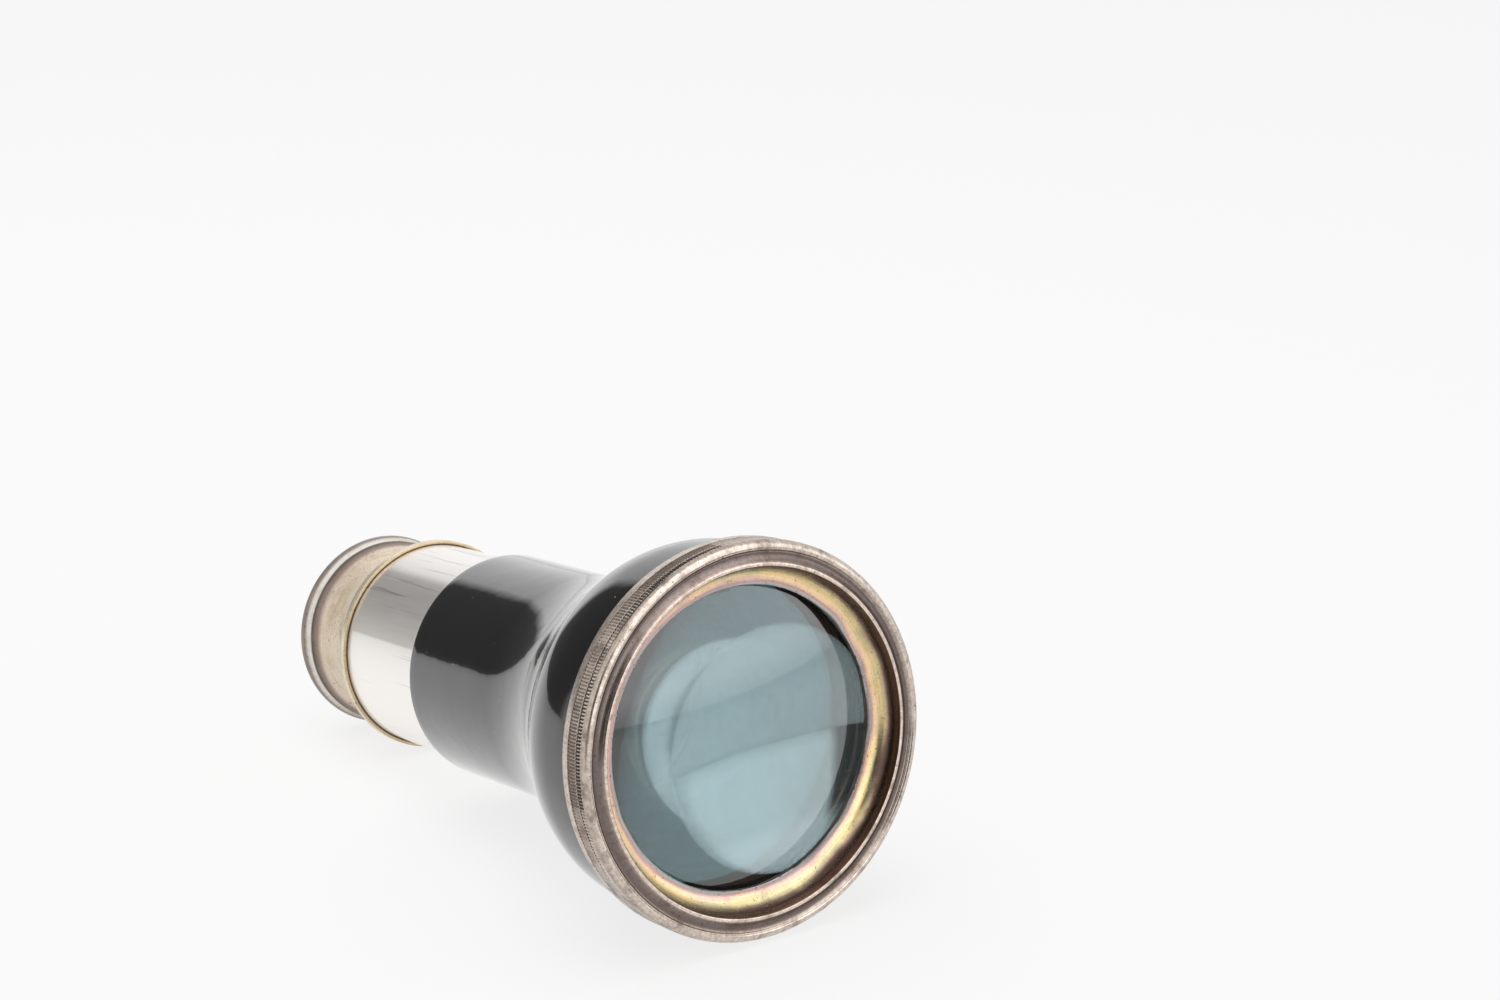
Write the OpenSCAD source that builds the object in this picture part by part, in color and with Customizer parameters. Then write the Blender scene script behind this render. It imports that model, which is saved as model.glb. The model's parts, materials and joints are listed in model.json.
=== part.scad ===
// Draw-tube monocular, about 54 mm across the objective and 80 mm long when closed.
// It lies as it rests on a table: the barrel's ferrule and the rim of the eyepiece touch z = 0.
// Every piece is turned about one optical axis. Along it, distances are measured from the
// crest of the objective ring (0) towards the eye, and a profile point is [radius, distance].
// +X points from the eye to the objective, +Z up, and the part is symmetric about y = 0.

/* [Objective lens] */
// Radius of both objective lenses
lens_r = 22.2; // [19:0.1:28]
// Radius of curvature of the front surface
crown_front_curve = 80; // [70:1:120]
// Radius of curvature of the inner surfaces
inner_curve = 70; // [60:1:100]
// Thickness of the crown lens at its edge
crown_edge = 1.4; // [1:0.1:2.5]
// Thickness of the flint lens at its middle
flint_mid = 1.8; // [1.2:0.1:3]
// Thickness of the foil tabs that keep the lenses apart
foil_t = 0.12; // [0.1:0.01:0.2]
// Width of a foil tab
foil_w = 3; // [2:0.5:5]
// Number of foil tabs
foil_count = 3; // [3:1:6]
// Ease on each side of a foil tab
foil_ease = 0.01; // [0.005:0.005:0.02]
// Length of the retaining ring
retainer_w = 1.8; // [1.2:0.1:3]
// Width of the wall of the retaining ring
retainer_wall = 1.6; // [1.2:0.1:2]
// How far the retaining ring stands out beyond the lenses
retainer_step = 0.65; // [0.4:0.05:1]
// Width of the notches for a pin spanner
spanner_w = 1.2; // [0.8:0.1:2]

/* [Objective ring] */
// How far the lip covers the edge of the glass
bearing_w = 1.6; // [1:0.1:2.5]
// Width of the flat lip around the glass
lip_w = 0.3; // [0.2:0.05:0.8]
// Thickness of the lip in front of the glass
lip_t = 0.8; // [0.5:0.1:1.5]
// Width of the hollow cove between lip and crest
cove_w = 2.6; // [2:0.1:3.2]
// Depth of the cove
cove_depth = 3.5; // [3.2:0.1:5]
// Width of the flat land on the crest
crest_land = 0.4; // [0.3:0.05:0.6]
// Width of the dished groove outside the crest
groove_w = 1.9; // [1.4:0.1:2.5]
// Depth of the groove
groove_depth = 0.5; // [0.2:0.05:0.8]
// Setback of the outer bead from the crest
bead_setback = 0.2; // [0.1:0.05:0.4]
// Rounding of the outer bead
bead_round = 1; // [0.6:0.1:1.2]
// Width of the narrow milled band
front_band_w = 0.9; // [0.6:0.1:1.6]
// Wall of the threaded skirt round the retaining ring
skirt_wall = 0.7; // [0.5:0.05:1]
// Length of the skirt beyond the retaining ring
skirt_tail = 0.3; // [0:0.1:1]

/* [Barrel ferrule] */
// How much smaller in radius the ferrule is than the ring
ferrule_step = 0.1; // [0:0.05:0.5]
// Gap between the two rings
ring_gap = 0.35; // [0.3:0.05:0.6]
// Depth of that gap
ring_gap_depth = 1.1; // [0.6:0.1:2]
// Width of the ferrule's milled band
rear_band_w = 1.8; // [1.2:0.1:3]
// Width of the plain lip beside the barrel
ferrule_lip_w = 1.3; // [0.8:0.1:2]
// Length of the ferrule's sleeve inside the barrel
ferrule_sleeve_len = 4; // [3:0.5:6]
// Wall of that sleeve
ferrule_wall = 0.675; // [0.5:0.025:1]

/* [Milling] */
// Number of ridges round each milled band
ridge_count = 360; // [90:10:400]
// Depth of the milling
ridge_depth = 0.14; // [0.1:0.02:0.2]
// How far the tips of the ridges lie under the plain edges
ridge_sink = 0.02; // [0.01:0.01:0.04]

/* [Barrel] */
// Distance from the ferrule to the widest place
drum_mouth_len = 6.4; // [5:0.1:8]
// Radius of curvature of the drum in front of the widest place
mouth_curve = 40; // [35:1:60]
// Radius of curvature of the drum's shoulder
shoulder_curve = 14.4; // [13:0.1:16]
// Distance from the widest place to the seam
seam_drop = 6.5; // [5:0.1:7]
// Radius of curvature of the trumpet's flare
flare_curve = 40; // [35:1:44]
// Length of the barrel behind the ferrule
barrel_len = 58.3; // [52:0.1:68]
// Wall of the barrel
barrel_wall = 0.7; // [0.5:0.05:0.9]
// Length of the spigot where the trumpet enters the drum
spigot_len = 3; // [2:0.5:4]
// Thickness of the lip turned in at the eye end
end_lip_t = 0.7; // [0.5:0.1:1.2]
// Rounding of the barrel's eye end
end_round = 0.4; // [0.2:0.1:0.6]

/* [Guide sleeve] */
// Length of the sleeve
guide_len = 13.8; // [11:0.1:16]
// Wall of the sleeve
guide_wall = 0.55; // [0.4:0.05:1]
// Number of slots that let the sleeve spring
slot_count = 4; // [2:1:8]
// Width of a slot
slot_w = 1; // [0.6:0.1:1.6]
// Length of a slot
slot_len = 9; // [5:0.5:10]

/* [Draw tube] */
// Outer radius of the draw tube
draw_r = 15.15; // [13.6:0.05:17]
// Wall of the draw tube
draw_wall = 0.55; // [0.5:0.05:0.7]
// How far the tube is drawn out, from barrel to collar
draw_out = 20.9; // [15:0.1:25]
// Distance left between the tube and the lens retainer when it is pushed in
inner_clear = 2.5; // [1:0.5:5]
// Width of the stop ring
stop_w = 1; // [0.8:0.1:1.5]
// Distance from the tube's inner end to the stop ring
stop_inset = 1.2; // [0.8:0.1:2]
// Gap where the stop ring is split
stop_split = 2.5; // [1:0.5:5]
// Clearance between the stop ring and the neck
stop_side_gap = 0.3; // [0.25:0.05:0.35]

/* [Eyepiece] */
// How far the collar stands out from the draw tube
collar_step = 0.6; // [0.4:0.05:1]
// Width of the collar
collar_w = 1.1; // [1:0.1:2]
// Depth of the tube's seat in the collar
collar_seat = 0.55; // [0.4:0.05:0.7]
// Length of the collar's thread inside the tube
collar_thread_len = 5; // [4:0.5:7]
// Wall of the collar's threaded part
collar_wall = 0.65; // [0.5:0.05:0.9]
// Wall of the cup's threaded plug
plug_wall = 1; // [0.7:0.1:1.3]
// How much smaller in radius the cup's shoulder is than the collar
shoulder_step = 0.75; // [0.5:0.05:1]
// Rounding of the cup's shoulder
shoulder_round = 0.7; // [0.5:0.1:0.9]
// Length of the eyepiece behind the collar
cup_len = 15.9; // [14.5:0.1:18]
// How much smaller in radius the waist is than the shoulder
waist_drop = 2.1; // [1.8:0.1:2.4]
// Wall of the cup at its waist
waist_wall = 1.55; // [1.2:0.05:2]
// Radius of curvature of the waist
waist_curve = 13; // [12.6:0.1:15]
// How far the rim stands out from the waist
rim_flare = 1.6; // [1.4:0.1:2]
// Rounding of the cup's rim
rim_round = 1.5; // [1.3:0.1:1.7]
// Depth of the dish on the eye side
dish_depth = 3.2; // [2.5:0.1:3.5]

/* [Eye lens] */
// How far the cell's lip covers the edge of the eye lens
eye_bearing = 0.6; // [0.4:0.1:1.5]
// Radius of curvature of both its faces
eye_lens_curve = 40; // [30:1:60]
// Thickness of the eye lens at its edge
eye_lens_edge = 3.2; // [2.6:0.1:3.5]
// Wall of the cell
cell_wall = 1.75; // [1.2:0.05:2]
// How far the cell's flange stands out
cell_flange_w = 0.9; // [0.6:0.1:1.2]
// Thickness of the cell's flange and of its lip
cell_t = 0.9; // [0.6:0.1:1.2]
// Width of the eye lens's retaining ring
eye_ring_w = 1.2; // [0.8:0.1:1.6]
// Wall of the eye lens's retaining ring
eye_ring_wall = 1; // [0.8:0.1:1.5]

/* [Fits] */
// Radial clearance of screwed and soldered joints
thread_fit = 0.05; // [0.03:0.01:0.08]
// Radial clearance of the draw tube in its sleeve
run_fit = 0.05; // [0.02:0.01:0.08]
// Space left at the end of a moving stop
stop_gap = 0.3; // [0.2:0.05:0.5]
// Small bevel that breaks a turned edge
edge_bevel = 0.1; // [0.05:0.05:0.15]

/* [Hidden] */
$fn = 96;

// Steps in a small rounding and along a long curve
round_steps = 8;
long_steps = 14;

// Objective ring, outwards from the glass and backwards from the crest
window_r = lens_r - bearing_w;
cove_mid_r = window_r + lip_w;
crest_in_r = cove_mid_r + cove_w;
crest_r = crest_in_r + edge_bevel + crest_land / 2;
crest_out_r = crest_r + crest_land / 2 + edge_bevel;
cove_round = min(cove_w, cove_depth - 2 * edge_bevel);
bead_mid_r = crest_out_r + groove_w;
ring_r = bead_mid_r + bead_round;
front_band_at = bead_setback + bead_round;
ring_back = front_band_at + front_band_w;
gap_floor_r = ring_r - ring_gap_depth;
band_core = ridge_sink + 2 * ridge_depth;

// Objective lenses: the curved front bears on the inner edge of the lip
seat_at = cove_depth + lip_t;
function cap(curve, r) = curve - sqrt(curve * curve - r * r);
crown_apex = seat_at + thread_fit - cap(crown_front_curve, window_r);
crown_back_edge = crown_apex + cap(crown_front_curve, lens_r) + crown_edge;
crown_back = crown_back_edge + cap(inner_curve, lens_r);
flint_back = crown_back + foil_t + flint_mid;
retainer_r = lens_r + retainer_step;
retainer_back = flint_back + retainer_w;
skirt_r = retainer_r + thread_fit + skirt_wall;
skirt_back = retainer_back + skirt_tail;

// Ferrule
ferrule_r = ring_r - ferrule_step;
ferrule_at = ring_back + ring_gap;
rear_band_at = ferrule_at + edge_bevel;
ferrule_back = rear_band_at + rear_band_w + ferrule_lip_w;
ferrule_bore = skirt_r + thread_fit;
sleeve_r = ferrule_bore + ferrule_wall;
sleeve_back = ferrule_back + ferrule_sleeve_len;

// Barrel: an outline of three arcs and a straight neck, with its mouth fitted on the ferrule's sleeve
mouth_bore = sleeve_r + thread_fit;
mouth_mid_r = mouth_bore - sqrt(pow(mouth_curve - barrel_wall, 2) - pow(drum_mouth_len, 2));
drum_r = mouth_mid_r + mouth_curve;
drum_top = ferrule_back + drum_mouth_len;
seam_at = drum_top + seam_drop;
barrel_back = ferrule_back + barrel_len;
guide_bore = draw_r + run_fit;
guide_r = guide_bore + guide_wall;
neck_bore = guide_r + thread_fit;
neck_r = neck_bore + barrel_wall;
shoulder_mid_r = drum_r - shoulder_curve;
flare_mid_r = neck_r + flare_curve;
arcs_apart = shoulder_curve + flare_curve;
flare_back = drum_top + sqrt(pow(arcs_apart, 2) - pow(flare_mid_r - shoulder_mid_r, 2));
// Where the shoulder turns into the flare, on a skin that lies depth t under the outside
function arcs_meet(t) = drum_top + (flare_back - drum_top) * (shoulder_curve - t) / arcs_apart;
// Radius of that skin at distance a
function barrel_skin(a, t) =
    a < drum_top ? mouth_mid_r + sqrt(pow(mouth_curve - t, 2) - pow(a - drum_top, 2))
    : a < arcs_meet(t) ? shoulder_mid_r + sqrt(pow(shoulder_curve - t, 2) - pow(a - drum_top, 2))
    : a < flare_back ? flare_mid_r - sqrt(pow(flare_curve + t, 2) - pow(a - flare_back, 2))
    : neck_r - t;
spigot_r = barrel_skin(seam_at, barrel_wall) - thread_fit;
spigot_bore = spigot_r - barrel_wall;
end_lip_at = barrel_back - end_lip_t;
guide_at = end_lip_at - guide_len;

// Draw tube: pushed in, it ends just behind the lens retainer
draw_bore = draw_r - draw_wall;
collar_at = barrel_back + draw_out;
draw_back = collar_at + collar_seat;
draw_front = skirt_back + inner_clear + draw_out - stop_gap;
groove_r = draw_r - draw_wall / 2;
stop_at = draw_front + stop_inset;
stop_bore = groove_r + run_fit;
stop_r = neck_bore - stop_side_gap;
// How much further the tube draws out before the stop ring meets the sleeve
draw_more = guide_at - stop_gap - stop_w - stop_at;

// Eyepiece
collar_r = draw_r + collar_step;
collar_back = collar_at + collar_w;
collar_thread_at = collar_at - collar_thread_len;
collar_plug_r = draw_bore - thread_fit;
collar_bore = collar_plug_r - collar_wall;
cup_plug_r = collar_bore - thread_fit;
cup_plug_bore = cup_plug_r - plug_wall;
cup_back = collar_back + cup_len;
shoulder_r = collar_r - shoulder_step;
dish_at = cup_back - dish_depth;
waist_r = shoulder_r - waist_drop;
cup_bore = waist_r - waist_wall;
cell_flange_r = cup_bore - thread_fit;
cell_r = cell_flange_r - cell_flange_w;
cell_bore = cell_r + thread_fit;
cell_lens_bore = cell_r - cell_wall;
eye_lens_r = cell_lens_bore - thread_fit;
eye_window_r = eye_lens_r - eye_bearing;
eye_lens_back = dish_at - cell_t;
eye_lens_front = eye_lens_back - eye_lens_edge;
eye_hollow = cap(eye_lens_curve, eye_lens_r);
cell_front = eye_lens_front - eye_ring_w;
cell_seat = cell_front + cell_t;
rim_r = waist_r + rim_flare;
rim_mid = [rim_r - rim_round, cup_back - rim_round];
waist_mid_r = waist_r + waist_curve;
waist_at = rim_mid[1] - sqrt(pow(rim_round + waist_curve, 2) - pow(waist_mid_r - rim_mid[0], 2));
rim_start = atan2(waist_at - rim_mid[1], waist_mid_r - rim_mid[0]);
waist_from = collar_back + 2 * shoulder_round;
throat_len = abs(cup_plug_bore - cup_bore);

// The tilt at which one of the ring edges and the rim of the eyepiece both touch the table
rest_edges = [[ring_r, front_band_at], [ferrule_r, ferrule_back - edge_bevel]];
function tilt_on(edge) = acos(rim_round / norm(rim_mid - edge))
    - atan2(rim_mid[1] - edge[1], edge[0] - rim_mid[0]);
rest_tilt = max([for (edge = rest_edges) tilt_on(edge)]);

// Points on an arc about middle, from angle a0 to a1, where 0 is away from the axis
function arc(middle, radius, a0, a1, steps) = [
    for (i = [0:steps])
        let (t = a0 + (a1 - a0) * i / steps)
        middle + radius * [cos(t), sin(t)]
];
// All of a list but its first point, so that two stretches share one point
function tail(points) = [for (i = [1:len(points) - 1]) points[i]];
function backwards(points) = [for (i = [len(points) - 1:-1:0]) points[i]];
// Points on a lens face from the axis out to radius r: side is 1 where it falls back, -1 forward
function dome(middle, side, curve, r) = [
    for (i = [0:long_steps])
        let (x = r * i / long_steps)
        [x, middle + side * cap(curve, x)]
];
// Points on the barrel's skin at depth t, from distance a0 to a1
function skin(a0, a1, t, steps) = [
    for (i = [0:steps])
        let (a = a0 + (a1 - a0) * i / steps)
        [barrel_skin(a, t), a]
];

// The dished groove between crest and outer bead
groove = [
    for (i = [1:round_steps - 1])
        let (s = i / round_steps)
        [crest_out_r + (bead_mid_r - crest_out_r) * s,
         edge_bevel + (bead_setback - edge_bevel) * s + groove_depth * sin(180 * s)]
];
ring_face = concat(
    [[window_r, cove_depth]],
    arc([cove_mid_r, cove_depth - cove_round], cove_round, 90, 0, round_steps),
    [[crest_in_r, edge_bevel], [crest_r - crest_land / 2, 0],
     [crest_r + crest_land / 2, 0], [crest_out_r, edge_bevel]],
    groove,
    arc([bead_mid_r, front_band_at], bead_round, -90, 0, round_steps)
);
cup_outside = concat(
    [[cup_plug_r, collar_back]],
    arc([shoulder_r - shoulder_round, collar_back + shoulder_round], shoulder_round, -90, 90,
        round_steps),
    [for (i = [0:long_steps - 1])
        let (a = waist_from + (rim_mid[1] + rim_round * sin(rim_start) - waist_from) * i / long_steps)
        [waist_mid_r - sqrt(pow(waist_curve, 2) - pow(a - waist_at, 2)), a]],
    arc(rim_mid, rim_round, rim_start, 90, 2 * round_steps)
);
// The bowl on the eye side, from its edge down to the eye lens's cell
dish = [
    for (i = [0:round_steps])
        let (t = 90 * i / round_steps)
        [cell_bore + (rim_mid[0] - edge_bevel - cell_bore) * cos(t), cup_back - dish_depth * sin(t)]
];

// Place in the frame: resting height, and the middle of the length at x = 0
resting = concat(ring_face, cup_outside, rest_edges);
rest_z = max([for (p = resting) p[1] * sin(rest_tilt) + p[0] * cos(rest_tilt)]);
front_x = max([for (p = resting) p[0] * sin(rest_tilt) - p[1] * cos(rest_tilt)]);
back_x = min([for (p = resting) -p[0] * sin(rest_tilt) - p[1] * cos(rest_tilt)]);

module lay_down()
    translate([-(front_x + back_x) / 2, 0, rest_z])
        rotate([0, -90 - rest_tilt, 0])
            children();

module turned(points)
    rotate_extrude()
        polygon(points);

module tube(from, to, outer, inner)
    turned([[inner, from], [outer, from], [outer, to], [inner, to]]);

// A band of straight ridges, standing on a core of radius inner
module milled_band(from, width, outer, inner)
    translate([0, 0, from])
        linear_extrude(height = width)
            difference() {
                polygon([
                    for (i = [0:2 * ridge_count - 1])
                        let (t = 180 * i / ridge_count, r = outer - (i % 2) * ridge_depth)
                        r * [cos(t), sin(t)]
                ]);
                circle(r = inner);
            }

// Front ring: lip, cove, crest, groove and bead, with a threaded skirt that holds the lenses
module objective_cell() color("#b9a79a") lay_down() {
    turned(concat(
        ring_face,
        [[ring_r - band_core, front_band_at], [ring_r - band_core, ring_back],
         [gap_floor_r, ring_back], [gap_floor_r, ferrule_at],
         [skirt_r, ferrule_at], [skirt_r, skirt_back],
         [retainer_r + thread_fit, skirt_back], [retainer_r + thread_fit, flint_back - edge_bevel],
         [lens_r + thread_fit, flint_back - edge_bevel], [lens_r + thread_fit, seat_at],
         [window_r, seat_at]]
    ));
    milled_band(front_band_at, front_band_w, ring_r - ridge_sink, gap_floor_r);
}

module crown_lens() color("#7fa6ad") lay_down()
    turned(concat(
        dome(crown_apex, 1, crown_front_curve, lens_r),
        backwards(dome(crown_back, -1, inner_curve, lens_r))
    ));

// The tabs fill the thin shell between the lenses, at the edge only
module foil_spacers() color("#c9c9c4") lay_down()
    intersection() {
        turned(concat(
            dome(crown_back + foil_ease, -1, inner_curve, lens_r),
            backwards(dome(crown_back + foil_t - foil_ease, -1, inner_curve, lens_r))
        ));
        for (i = [0:foil_count - 1])
            rotate([0, 0, 360 * i / foil_count])
                translate([lens_r - foil_w, -foil_w / 2, crown_back_edge])
                    cube([foil_w - 2 * edge_bevel, foil_w, foil_w]);
    }

module flint_lens() color("#86a9a6") lay_down()
    turned(concat(
        dome(crown_back + foil_t, -1, inner_curve, lens_r),
        [[lens_r, flint_back], [0, flint_back]]
    ));

// Screwed ring with two notches for a pin spanner
module lens_retaining_ring() color("#5d5349") lay_down()
    difference() {
        tube(flint_back, retainer_back, retainer_r, retainer_r - retainer_wall);
        translate([-skirt_r, -spanner_w / 2, retainer_back - retainer_w / 2])
            cube([2 * skirt_r, spanner_w, retainer_w]);
    }

module barrel_ferrule() color("#b3a293") lay_down() {
    turned([
        [ferrule_bore, ferrule_at], [ferrule_r - band_core, ferrule_at],
        [ferrule_r - band_core, rear_band_at + rear_band_w], [ferrule_r, rear_band_at + rear_band_w],
        [ferrule_r, ferrule_back - edge_bevel], [ferrule_r - edge_bevel, ferrule_back],
        [sleeve_r, ferrule_back], [sleeve_r, sleeve_back],
        [ferrule_bore, sleeve_back]
    ]);
    milled_band(rear_band_at, rear_band_w, ferrule_r - ridge_sink, gap_floor_r);
}

module barrel_drum() color("#17181b") lay_down()
    turned(concat(
        skin(ferrule_back, drum_top, 0, round_steps),
        tail(skin(drum_top, seam_at, 0, round_steps)),
        skin(seam_at, sleeve_back + edge_bevel, barrel_wall, round_steps),
        [[mouth_bore, sleeve_back + edge_bevel], [mouth_bore, ferrule_back]]
    ));

module barrel_trumpet() color("#1b1c20") lay_down()
    turned(concat(
        [[spigot_bore, seam_at - spigot_len], [spigot_r, seam_at - spigot_len], [spigot_r, seam_at]],
        skin(seam_at, arcs_meet(0), 0, 2),
        tail(skin(arcs_meet(0), flare_back, 0, long_steps)),
        arc([neck_r - end_round, barrel_back - end_round], end_round, 0, 90, round_steps),
        [[guide_bore, barrel_back], [guide_bore, end_lip_at], [neck_bore, end_lip_at]],
        [for (p = skin(flare_back, arcs_meet(barrel_wall), barrel_wall, long_steps))
            [min(p[0], spigot_bore), p[1]]]
    ));

// Sprung sleeve: its slotted front grips the draw tube
module guide_sleeve() color("#a08b58") lay_down()
    difference() {
        tube(guide_at, end_lip_at, guide_r, guide_bore);
        for (i = [0:slot_count - 1])
            rotate([0, 0, 360 * (i + 0.5) / slot_count])
                translate([0, -slot_w / 2, guide_at - slot_w])
                    cube([neck_r, slot_w, slot_len + slot_w]);
    }

// Split ring sprung into a groove near the tube's inner end
module stop_ring() color("#8f7b4e") lay_down()
    difference() {
        tube(stop_at + run_fit, stop_at + stop_w - run_fit, stop_r, stop_bore);
        translate([0, -stop_split / 2, stop_at - stop_w])
            cube([neck_r, stop_split, 3 * stop_w]);
    }

module draw_tube() color("#ded8d2") lay_down()
    turned([
        [draw_bore, draw_front], [draw_r, draw_front],
        [draw_r, stop_at], [groove_r, stop_at],
        [groove_r, stop_at + stop_w], [draw_r, stop_at + stop_w],
        [draw_r, draw_back], [draw_bore, draw_back]
    ]);

// Flange and inner thread, soldered to the end of the draw tube
module draw_collar() color("#b79f7f") lay_down()
    turned([
        [collar_bore, collar_thread_at], [collar_plug_r, collar_thread_at],
        [collar_plug_r, draw_back], [draw_r + thread_fit, draw_back],
        [draw_r + thread_fit, collar_at], [collar_r - edge_bevel, collar_at],
        [collar_r, collar_at + edge_bevel], [collar_r, collar_back - edge_bevel],
        [collar_r - edge_bevel, collar_back], [collar_bore, collar_back]
    ]);

// Waisted cup with a rolled rim, screwed into the collar
module eyepiece_cup() color("#b8aa9c") lay_down()
    turned(concat(
        [[cup_plug_r, collar_thread_at]],
        cup_outside,
        dish,
        [[cell_bore, cell_seat], [cup_bore, cell_seat],
         [cup_bore, waist_from + throat_len], [cup_plug_bore, waist_from],
         [cup_plug_bore, collar_thread_at]]
    ));

module eye_lens_cell() color("#a2937f") lay_down()
    turned([
        [cell_lens_bore, cell_front], [cell_flange_r, cell_front],
        [cell_flange_r, cell_seat], [cell_r, cell_seat],
        [cell_r, dish_at], [eye_window_r, dish_at],
        [eye_window_r, eye_lens_back], [cell_lens_bore, eye_lens_back]
    ]);

module eye_lens() color("#9fb8bb") lay_down()
    turned(concat(
        dome(eye_lens_front + eye_hollow, -1, eye_lens_curve, eye_lens_r),
        backwards(dome(eye_lens_back - eye_hollow, 1, eye_lens_curve, eye_lens_r))
    ));

module eye_lens_ring() color("#5d5349") lay_down()
    tube(cell_front, cell_front + eye_ring_w, eye_lens_r, eye_lens_r - eye_ring_wall);

objective_cell();
crown_lens();
foil_spacers();
flint_lens();
lens_retaining_ring();
barrel_ferrule();
barrel_drum();
barrel_trumpet();
guide_sleeve();
stop_ring();
draw_tube();
draw_collar();
eyepiece_cup();
eye_lens_cell();
eye_lens();
eye_lens_ring();
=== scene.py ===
"""Draw-tube monocular: turned plated rings, lacquered trumpet barrel, lenses, draw tube and waisted eyepiece.

Run as a script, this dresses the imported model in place. Every piece is turned about the optical axis, so each
one is an outline of (radius, distance) points, where distance runs from the crest of the objective ring
towards the eye, that is spun about the axis and laid on it.
"""
import json
from collections import namedtuple
from math import atan2, ceil, cos, degrees, hypot, pi, radians, sin, sqrt

import bmesh
import bpy
from mathutils import Matrix, Vector


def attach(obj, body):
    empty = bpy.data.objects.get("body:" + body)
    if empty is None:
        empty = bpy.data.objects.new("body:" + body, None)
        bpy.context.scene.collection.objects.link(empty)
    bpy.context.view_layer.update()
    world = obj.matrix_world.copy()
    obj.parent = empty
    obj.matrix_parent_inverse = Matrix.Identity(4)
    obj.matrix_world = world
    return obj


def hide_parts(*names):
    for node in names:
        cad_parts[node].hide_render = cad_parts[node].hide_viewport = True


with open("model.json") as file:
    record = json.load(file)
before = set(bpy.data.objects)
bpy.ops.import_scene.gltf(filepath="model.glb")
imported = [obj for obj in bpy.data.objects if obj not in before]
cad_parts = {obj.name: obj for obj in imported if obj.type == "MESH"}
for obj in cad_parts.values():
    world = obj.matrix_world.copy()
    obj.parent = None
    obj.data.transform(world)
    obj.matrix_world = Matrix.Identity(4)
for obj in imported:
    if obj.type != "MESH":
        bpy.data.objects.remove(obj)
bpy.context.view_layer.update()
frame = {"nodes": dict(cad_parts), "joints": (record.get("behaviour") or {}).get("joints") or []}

bl_info = {
    "name": "Draw-tube monocular",
    "version": (1, 0, 0),
    "blender": (4, 5, 0),
    "location": "3D View > Sidebar > Monocular",
    "description": "Turns and finishes the visible pieces of a draw-tube monocular, and sets its studio",
    "category": "Object",
}

MM = 0.001

# Points that lie this close are one point
WELD = 0.5e-6
# How far a turned corner is broken, and the radius of one that is rounded
BROKEN = 0.06 * MM
ROUNDED = 0.15 * MM
# How far behind a face its finish reaches
SKIN = 0.02 * MM
# Angle over which an edge stays sharp, in degrees
SHARP = 30

# The optical axis, from the joints: the draw tube slides along it and turns about it
JOINTS = {joint["name"]: joint for joint in frame["joints"]}
AXIS = Vector(JOINTS["focus"]["axis"]).normalized()
ON_AXIS = Vector(JOINTS["turn"]["pos_m"])
SIDE = Vector((0, 1, 0))
TOP = SIDE.cross(AXIS)
RING_POINTS = [vertex.co for vertex in frame["nodes"]["objective_cell"].data.vertices]
CREST = ON_AXIS + AXIS * min((point - ON_AXIS).dot(AXIS) for point in RING_POINTS)
LATHE = Matrix.Translation(CREST) @ Matrix((TOP, SIDE, AXIS)).transposed().to_4x4()
TO_LATHE = LATHE.inverted()

Reach = namedtuple("Reach", "front back inner outer")


def on_lathe(point):
    """A point's radius from the axis and its distance from the crest, in metres."""
    x, y, distance = TO_LATHE @ point
    return hypot(x, y), distance


def reach(node):
    """How far a CAD node reaches along the axis, from the crest, and away from it, in metres."""
    radii, places = zip(*(on_lathe(vertex.co) for vertex in frame["nodes"][node].data.vertices))
    return Reach(min(places), max(places), min(radii), max(radii))


CELL = reach("objective_cell")
CROWN = reach("crown_lens")
FLINT = reach("flint_lens")
FERRULE = reach("barrel_ferrule")
DRUM = reach("barrel_drum")
TRUMPET = reach("barrel_trumpet")
TUBE = reach("draw_tube")
COLLAR = reach("draw_collar")
CUP = reach("eyepiece_cup")
EYE_CELL = reach("eye_lens_cell")
EYE_LENS = reach("eye_lens")
STOP_RING = reach("stop_ring")


def linear(colour):
    """The linear colour of an sRGB hex value, with full alpha, as Blender's colour sockets take it."""
    parts = [int(colour[i:i + 2], 16) / 255 for i in (1, 3, 5)]
    return [p / 12.92 if p <= 0.04045 else ((p + 0.055) / 1.055) ** 2.4 for p in parts] + [1]


def size(name, millimetres, description):
    """A size property, given in mm and kept in metres."""
    return bpy.props.FloatProperty(
        name=name, description=description, default=millimetres * MM, precision=5, subtype="DISTANCE",
        unit="LENGTH"
    )


def tint(name, colour, description):
    """A colour property, given as an sRGB hex value and kept linear."""
    return bpy.props.FloatVectorProperty(
        name=name, description=description, default=linear(colour), size=4, min=0, max=1, subtype="COLOR"
    )


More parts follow.
